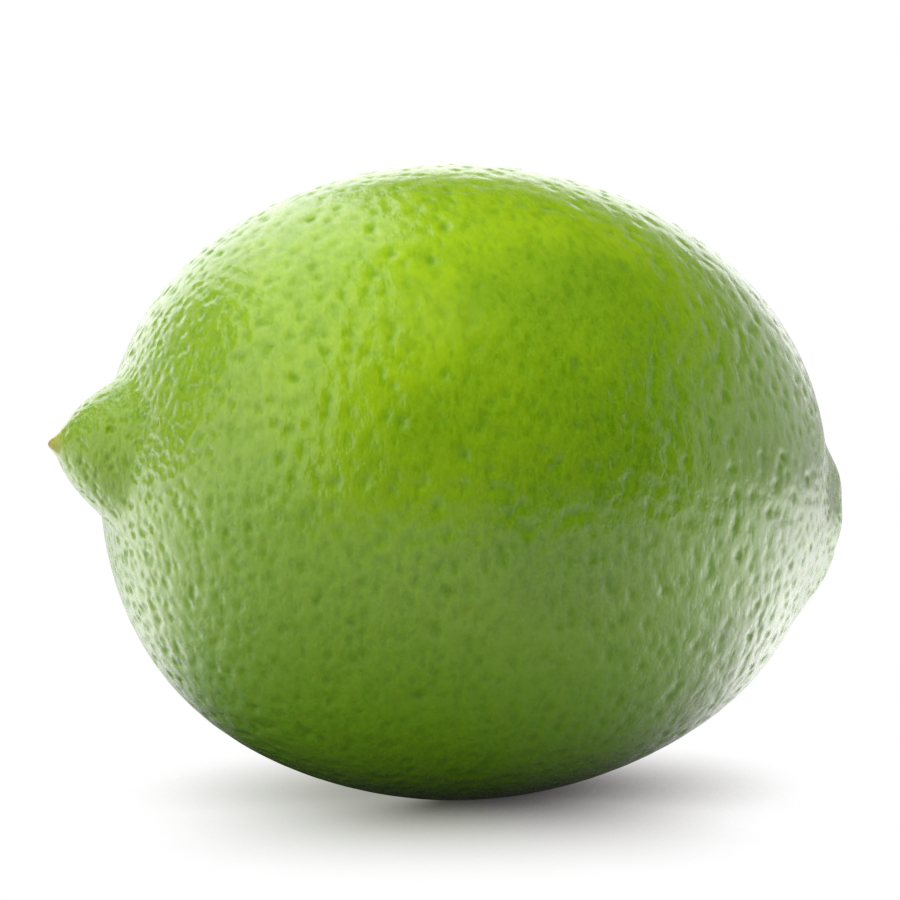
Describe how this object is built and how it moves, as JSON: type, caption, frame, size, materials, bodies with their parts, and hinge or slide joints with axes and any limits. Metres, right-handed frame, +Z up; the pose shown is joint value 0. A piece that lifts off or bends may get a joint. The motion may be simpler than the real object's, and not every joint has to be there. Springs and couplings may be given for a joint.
{
  "type": "lime",
  "caption": "Whole fresh lime lying on its side: a dimpled green fruit with a blunt nipple at one end, a stem button in a low collar at the other, and a small flat spot to rest on.",
  "frame": {"origin": "middle of the small flat spot under the fruit, where it rests", "axes": "+Z up; +X along the fruit's length towards the stem end, so the nipple points to -X and a little up; +Y level across it"},
  "size_m": [0.0652, 0.0508, 0.0507],
  "materials": {
    "lime_peel": "fresh green citrus peel, dimpled, with a soft waxy shine"
  },
  "bodies": {
    "root": {"lime": "lime_peel"}
  },
  "joints": []
}
